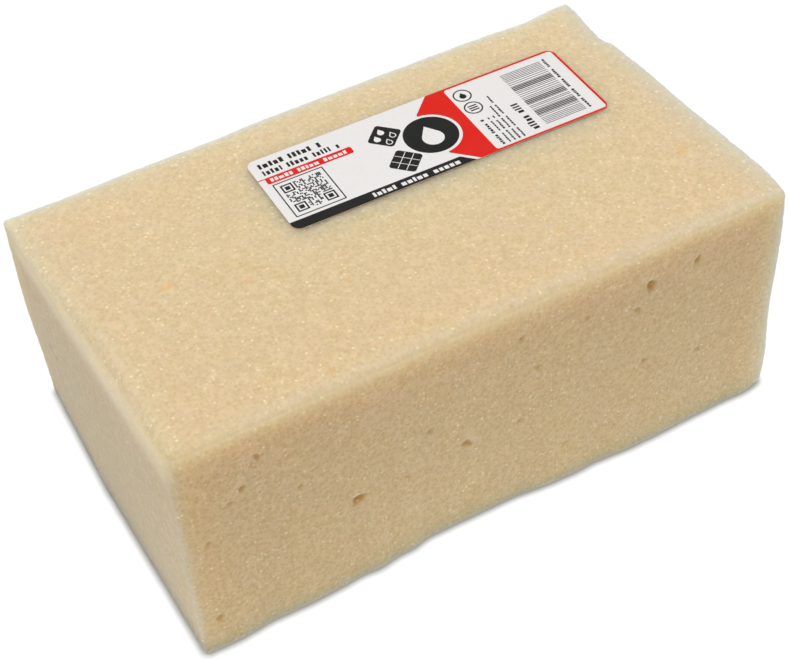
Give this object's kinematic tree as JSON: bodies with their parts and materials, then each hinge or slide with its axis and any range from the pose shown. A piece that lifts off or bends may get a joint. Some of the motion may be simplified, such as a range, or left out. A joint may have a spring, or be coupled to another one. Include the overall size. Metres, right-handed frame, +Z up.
{
  "type": "tiling sponge",
  "caption": "Large rectangular block of open-cell foam for washing grout off tiles, with a printed self-adhesive label on top.",
  "frame": {"origin": "centre of the block's footprint, on the surface that it rests on", "axes": "+X along the block's length, +Y across its width, away from the label's lower edge, +Z up through its height"},
  "size_m": [0.17, 0.1, 0.0702],
  "materials": {
    "foam": "matte",
    "adhesive": "satin",
    "film": "gloss",
    "black_ink": "gloss",
    "red_ink": "gloss"
  },
  "bodies": {
    "root": {"sponge_block": "foam", "label_adhesive": "adhesive", "label_film": "film", "label_black_print": "black_ink", "label_red_print": "red_ink"}
  },
  "joints": []
}
